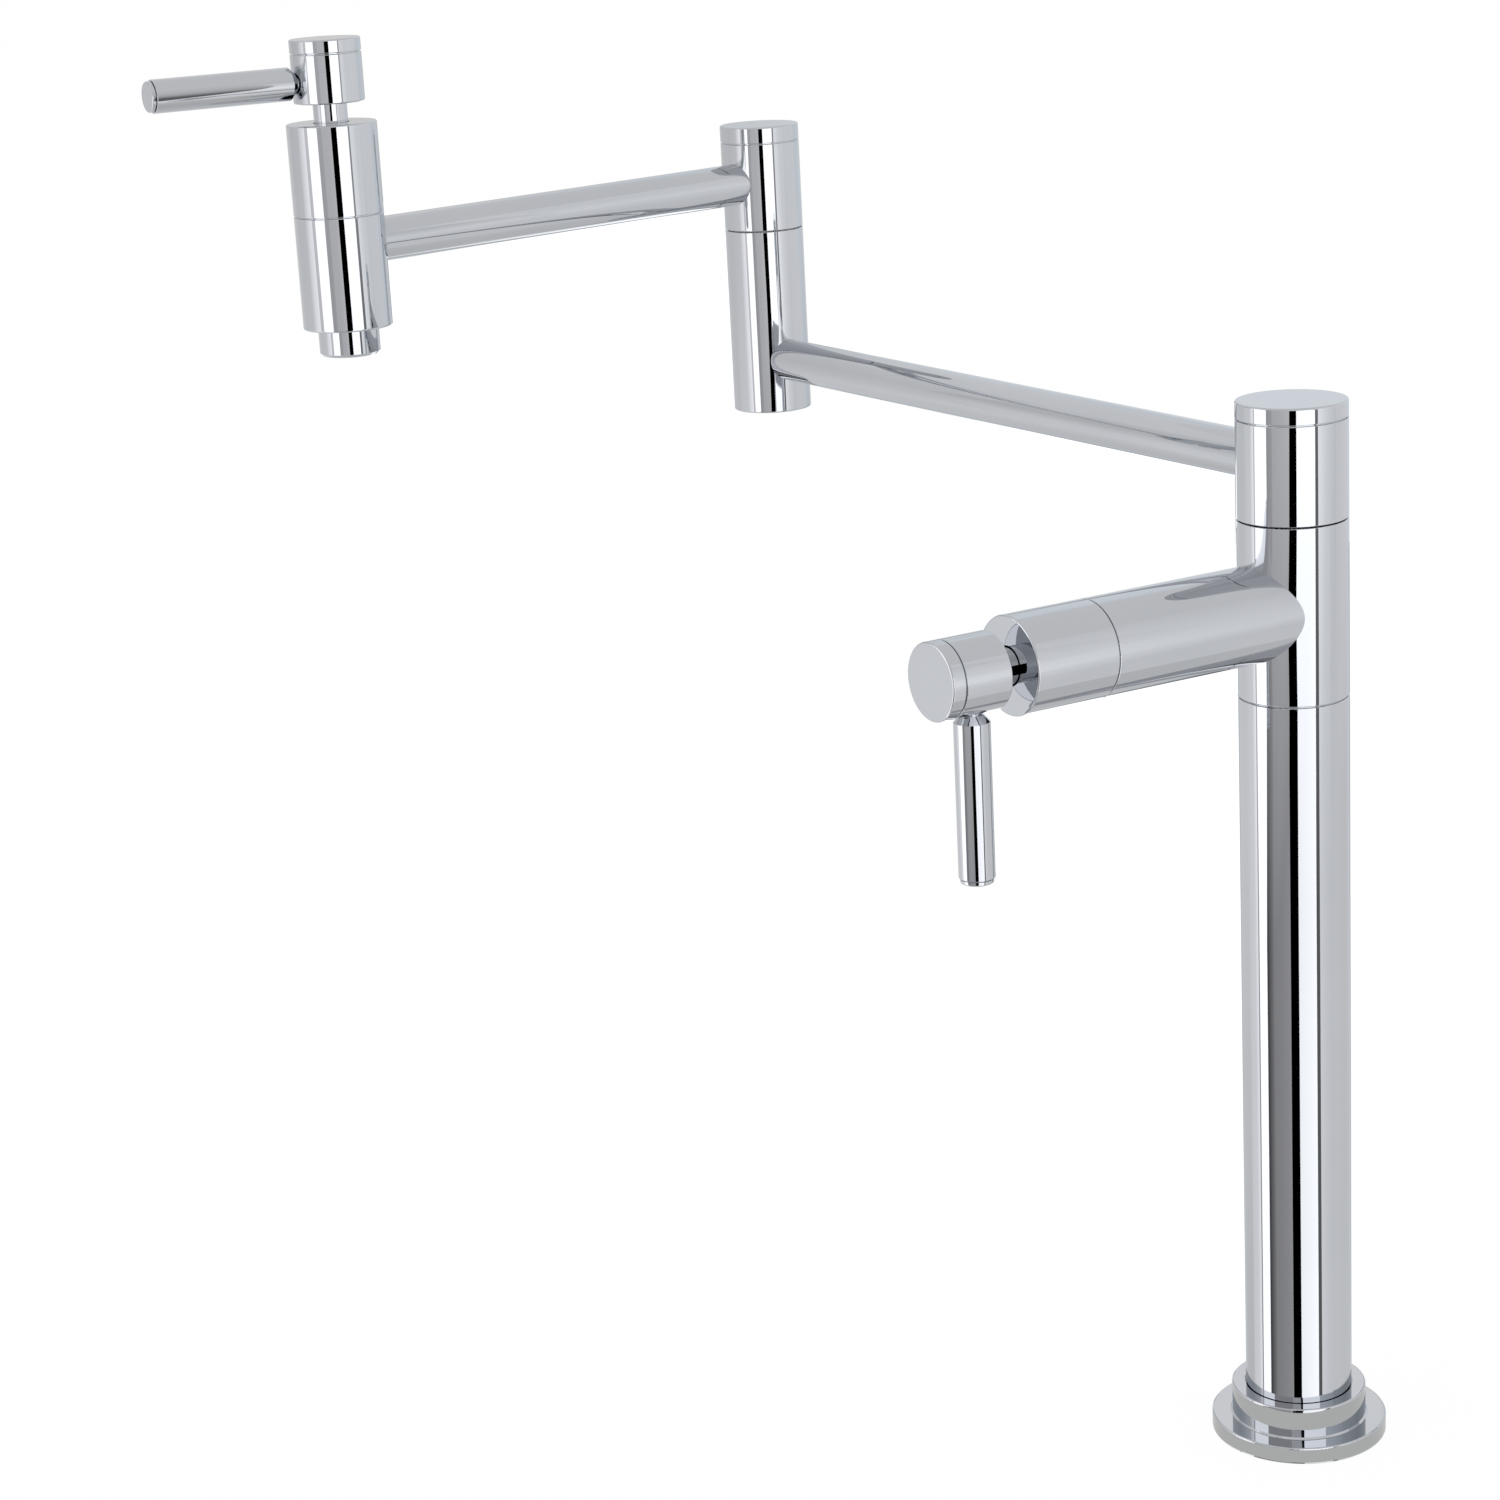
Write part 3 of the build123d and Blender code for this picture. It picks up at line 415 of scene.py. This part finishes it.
# Cards between two edges: name, edges, tint, and the brightness at both edges at each of the tent's levels
WALLS = (
    ("fade", "back_left", "fade", PLAIN, (0.95, 1.05), (0.90, 1.00), (0.70, 0.80), (0.85, 0.85)),
    ("rise", "fade", "line_left", ROSE, (1.05, 1.35), (1.05, 1.45), (0.80, 1.35), (0.90, 1.05)),
    ("line", "line_left", "line_right", ROSE, (0.40, 0.40), (0.80, 0.80), (0.90, 0.90), (0.90, 0.90)),
    ("strip", "line_right", "strip", PLAIN, (1.85, 1.85), (1.90, 1.90), (1.90, 1.90), (0.95, 0.95)),
    ("shade", "strip", "grey", ROSE, (0.05, 0.30), (0.45, 0.55), (0.65, 0.65), (0.70, 0.75)),
    ("grey", "grey", "slit_left", ROSE, (0.35, 0.45), (0.65, 0.80), (0.75, 0.80), (0.75, 0.65)),
    ("slit", "slit_left", "slit_right", PLAIN, (0.00, 0.00), (0.00, 0.00), (0.00, 0.00), (0.85, 0.85)),
    ("white", "slit_right", "gap_left", PLAIN, (1.55, 1.75), (1.90, 1.90), (1.90, 1.90), (0.95, 0.95)),
    ("gap", "gap_left", "gap_right", ROSE, (0.15, 0.15), (0.20, 0.20), (0.60, 0.60), (0.80, 0.80)),
    ("band", "gap_right", "band", PLAIN, (1.05, 0.90), (1.35, 1.05), (1.10, 1.00), (0.80, 0.90)),
    ("right", "band", "right", PLAIN, (0.90, 0.90), (1.05, 0.90), (1.00, 1.00), (0.95, 0.80)),
    ("back", "right", "back", PLAIN, (0.90, 0.80), (0.95, 0.95), (1.05, 1.00), (0.95, 0.95)),
    ("left", "back", "bend", COOL, (0.85, 0.80), (0.95, 0.65), (0.90, 0.85), (0.95, 0.95)),
    ("turn", "bend", "left", COOL, (0.80, 0.80), (0.65, 0.65), (0.85, 0.60), (0.85, 0.90)),
    ("far", "left", "back_left", PLAIN, (0.80, 0.95), (0.75, 0.85), (0.60, 0.80), (0.90, 0.90)),
)

# Walls that go darker below the lowest level: the share of its brightness that is left at the foot
FOOT_SHARE = {"left": 0.80, "turn": 0.80, "far": 0.80}

# The tent's roof and floor, and a ring on the worktop round the flange
ROOF = grey(0.85)
TENT_FLOOR_CENTRE = grey(0.65)
TENT_FLOOR_EDGE = grey(0.85)
DECK_GREY = grey(0.70, WARM)

# Grey cards just inside the upper ends of the black wall and the two brightest, so that level tops mirror
# none of these: name, edges, and the height of the card's foot
COVERS = (
    ("slit", "slit_left", "slit_right", 0.40),
    ("white", "slit_right", "gap_left", 0.46),
    ("strip", "line_right", "strip", 0.44),
)
COVER_GREY = grey(0.80)
COVER_IN = 0.99

# Arcs round an upright axis. A stop has an azimuth in degrees, a brightness and a tint; a level has a radius,
# a height and a share of the stops' contrast with a middle grey
MIDDLE_GREY = 0.80

# Dim cards over the base, clear from above
BASE_RING = (
    (5, 0.95, COOL), (40, 0.65, COOL), (75, 0.50, COOL), (125, 0.60, COOL), (132, 1.00, PLAIN),
    (155, 1.00, PLAIN), (160, 0.60, COOL), (205, 0.60, COOL), (222, 0.80, COOL),
)
BASE_RING_FRONT = ((268, 0.55, ROSE), (308, 0.55, ROSE))
BASE_RING_LEVELS = ((0.17, 0.118, 1.0), (0.28, 0.118, 1.0))

# A dark and a bright strip behind the riser and behind the elbow, which chrome mirrors in views from the back
BACK_LOW = (
    (108, 0.85, COOL), (126, 0.65, COOL), (127, 0.05, COOL), (139, 0.05, COOL), (140, 1.60, PLAIN),
    (155, 1.60, PLAIN), (156, 0.55, COOL), (172, 0.80, COOL),
)
BACK_LOW_LEVELS = ((0.80, -0.50, 0.25), (0.80, -0.20, 1.0), (0.80, 0.10, 1.0))
BACK_HIGH = (
    (122, 0.85, COOL), (143, 0.75, COOL), (144, 0.05, COOL), (150, 0.05, COOL), (151, 1.60, PLAIN),
    (163, 1.60, PLAIN), (164, 0.75, COOL), (178, 0.80, COOL),
)
BACK_HIGH_LEVELS = ((0.58, 0.10, 1.0), (0.58, 0.30, 1.0))


def card(name, corners, shades, material):
    """A card, as quads with a brightness at each corner, that reflections alone see."""
    mesh = bpy.data.meshes.new(name)
    verts = [point for quad in corners for point in quad]
    mesh.from_pydata(verts, [], [tuple(range(4 * q, 4 * q + 4)) for q in range(len(corners))])
    layer = mesh.color_attributes.new("brightness", "FLOAT_COLOR", "CORNER")
    for item, shade in zip(layer.data, [shade for quad in shades for shade in quad]):
        item.color = (*shade, 1)
    mesh.materials.append(material)
    obj = bpy.data.objects.new(name, mesh)
    bpy.context.scene.collection.objects.link(obj)
    obj.visible_camera = False
    obj.visible_diffuse = False
    obj.visible_shadow = False


def wall(name, left, right, tint, *pairs):
    """One upright card of the tent."""
    left_low, left_high = EDGES[left]
    right_low, right_high = EDGES[right]
    foot_pair = tuple(FOOT_SHARE.get(name, 1.0) * level for level in pairs[0])
    levels = [(TENT_FOOT, left_low, right_low, foot_pair)]
    for step, z in enumerate(TENT_LEVELS):
        sides = (left_high, right_high) if step else (left_low, right_low)
        levels.append((z, *sides, pairs[step]))
    levels.append((TENT_TOP, left_high, right_high, pairs[-1]))
    corners = []
    shades = []
    for (z0, left0, right0, pair0), (z1, left1, right1, pair1) in zip(levels, levels[1:]):
        corners.append(((*left0, z0), (*right0, z0), (*right1, z1), (*left1, z1)))
        shades.append(tuple(grey(level, tint) for level in (*pair0, pair1[1], pair1[0])))
    card("studio_wall_" + name, corners, shades, CARD)


def cover(name, left, right, foot):
    """A plain card just inside the upper end of one wall."""
    x0, y0 = (COVER_IN * part for part in EDGES[left][1])
    x1, y1 = (COVER_IN * part for part in EDGES[right][1])
    corners = ((x0, y0, foot), (x1, y1, foot), (x1, y1, TENT_TOP), (x0, y0, TENT_TOP))
    card("studio_cover_" + name, (corners,), ((COVER_GREY,) * 4,), CARD)


def arc_card(name, axis, levels, stops, material):
    """A card round an upright axis, from one level to the next and from stop to stop."""
    corners = []
    shades = []
    for low, high in zip(levels, levels[1:]):
        for start, end in zip(stops, stops[1:]):
            quad = []
            shade = []
            for level, stop in ((low, start), (low, end), (high, end), (high, start)):
                radius, z, contrast = level
                azimuth, brightness, tint = stop
                x = axis[0] + radius * cos(radians(azimuth))
                y = axis[1] + radius * sin(radians(azimuth))
                quad.append((x, y, z))
                shade.append(grey(MIDDLE_GREY + (brightness - MIDDLE_GREY) * contrast, tint))
            corners.append(quad)
            shades.append(shade)
    card(name, corners, shades, material)


def tent_ends():
    """The tent's roof, and its floor, which is darker in the middle."""
    card("studio_roof", (square(TENT_HALF, TENT_TOP),), ((ROOF,) * 4,), CARD)
    corners = square(TENT_HALF, TENT_FOOT)
    quads = []
    for a, b in zip(corners, corners[1:] + corners[:1]):
        middle = tuple((p + q) / 2 for p, q in zip(a, b))
        quads.append(((0, 0, TENT_FOOT), a, middle, b))
    shade = (TENT_FLOOR_CENTRE, TENT_FLOOR_EDGE, TENT_FLOOR_EDGE, TENT_FLOOR_EDGE)
    card("studio_tent_floor", quads, (shade,) * len(quads), CARD)


def deck_card():
    """A grey ring on the worktop, which the flange's edge mirrors."""
    inner = circle(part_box("flange")[1].x, DECK_CARD_LIFT, DECK_CARD_SEGMENTS)
    outer = circle(DECK_CARD_R, DECK_CARD_LIFT, DECK_CARD_SEGMENTS)
    quads = []
    for k in range(DECK_CARD_SEGMENTS):
        after = (k + 1) % DECK_CARD_SEGMENTS
        quads.append((inner[k], outer[k], outer[after], inner[after]))
    card("studio_deck_card", quads, ((DECK_GREY,) * 4,) * len(quads), CARD)


def light_tent():
    """All the cards that the chrome mirrors."""
    for row in WALLS:
        wall(*row)
    for row in COVERS:
        cover(*row)
    riser_axis = (0, 0)
    elbow_axis = next(joint["pos_m"] for joint in frame["joints"] if joint["name"] == "elbow_swivel")
    arc_card("studio_base_ring", riser_axis, BASE_RING_LEVELS, BASE_RING, FACING_CARD)
    arc_card("studio_base_front", riser_axis, BASE_RING_LEVELS, BASE_RING_FRONT, FACING_CARD)
    arc_card("studio_back_low", riser_axis, BACK_LOW_LEVELS, BACK_LOW, CARD)
    arc_card("studio_back_high", elbow_axis, BACK_HIGH_LEVELS, BACK_HIGH, CARD)
    tent_ends()
    deck_card()


def seen_directly(tree):
    """One for camera, glossy and transmission rays, which see the background as it is."""
    path = add(tree, "ShaderNodeLightPath")
    value = path.outputs["Is Camera Ray"]
    for name in ("Is Glossy Ray", "Is Transmission Ray"):
        larger = add(tree, "ShaderNodeMath", operation="MAXIMUM")
        tree.links.new(value, larger.inputs[0])
        tree.links.new(path.outputs[name], larger.inputs[1])
        value = larger.outputs[0]
    return value


def floor_material():
    """White to the eye by a set share; the rest takes the light, and so the object's shadow."""
    mat, tree, out = new_material("floor_white")
    mat.cycles.emission_sampling = "NONE"
    matt = add(tree, "ShaderNodeBsdfDiffuse", Color=FLOOR_COLOUR)
    white = add(tree, "ShaderNodeEmission", Color=WHITE, Strength=1.0)
    mix = add(tree, "ShaderNodeMixShader")
    scaled = add(tree, "ShaderNodeMath", operation="MULTIPLY")
    scaled.inputs[1].default_value = FLOOR_WHITE
    tree.links.new(seen_directly(tree), scaled.inputs[0])
    tree.links.new(scaled.outputs[0], mix.inputs["Fac"])
    tree.links.new(matt.outputs["BSDF"], mix.inputs[1])
    tree.links.new(white.outputs["Emission"], mix.inputs[2])
    tree.links.new(mix.outputs["Shader"], out.inputs["Surface"])
    return mat


def floor():
    """A wide floor at the level of the worktop; the tent stands in for it in reflections."""
    obj = mesh_object("studio_floor", square(FLOOR_HALF, FLOOR_Z), [(0, 1, 2, 3)], floor_material())
    obj.visible_glossy = False


def world_light():
    """A white world that lights surfaces a little less than it shows; the key lamp makes up the rest."""
    world = bpy.data.worlds.new("studio")
    world.use_nodes = True
    tree = world.node_tree
    tree.nodes.clear()
    out = tree.nodes.new("ShaderNodeOutputWorld")
    lit = add(tree, "ShaderNodeBackground", Color=WHITE, Strength=LIGHT_FOR_SURFACES)
    seen = add(tree, "ShaderNodeBackground", Color=WHITE, Strength=1.0)
    mix = add(tree, "ShaderNodeMixShader")
    tree.links.new(seen_directly(tree), mix.inputs["Fac"])
    tree.links.new(lit.outputs["Background"], mix.inputs[1])
    tree.links.new(seen.outputs["Background"], mix.inputs[2])
    tree.links.new(mix.outputs["Shader"], out.inputs["Surface"])
    bpy.context.scene.world = world


def key_lamp():
    """A large soft lamp overhead, on the left of the camera."""
    lamp = bpy.data.lights.new("key", "AREA")
    lamp.shape = "DISK"
    lamp.size = KEY_SIZE
    lamp.energy = KEY_WATTS
    obj = bpy.data.objects.new("key", lamp)
    bpy.context.scene.collection.objects.link(obj)
    obj.location = KEY_AT
    obj.rotation_euler = (KEY_AIM - KEY_AT).to_track_quat("-Z", "Y").to_euler()
    obj.visible_glossy = False
    obj.visible_camera = False


def camera():
    """The photograph's own view."""
    level_ahead = Vector((cos(CAMERA_AZIMUTH), sin(CAMERA_AZIMUTH), 0))
    level_right = Vector((sin(CAMERA_AZIMUTH), -cos(CAMERA_AZIMUTH), 0))
    ahead = cos(CAMERA_PITCH) * level_ahead + Vector((0, 0, -sin(CAMERA_PITCH)))
    level_down = ahead.cross(level_right)
    right = cos(CAMERA_ROLL) * level_right + sin(CAMERA_ROLL) * level_down
    up = sin(CAMERA_ROLL) * level_right - cos(CAMERA_ROLL) * level_down
    data = bpy.data.cameras.new("photo_view")
    data.sensor_fit = "HORIZONTAL"
    data.sensor_width = SENSOR_MM
    data.lens = FOCAL_PX * SENSOR_MM / IMAGE_SIDE_PX
    data.clip_start = CAMERA_NEAR
    data.clip_end = CAMERA_FAR
    obj = bpy.data.objects.new("photo_view", data)
    bpy.context.scene.collection.objects.link(obj)
    turn = Matrix((right, up, -ahead)).transposed().to_4x4()
    obj.matrix_world = Matrix.Translation(CAMERA_AT) @ turn
    bpy.context.scene.camera = obj


dress_nodes()
threaded_shank()
chamfered_nut()
light_tent()
floor()
world_light()
key_lamp()
camera()
bpy.context.scene.view_settings.view_transform = "Standard"
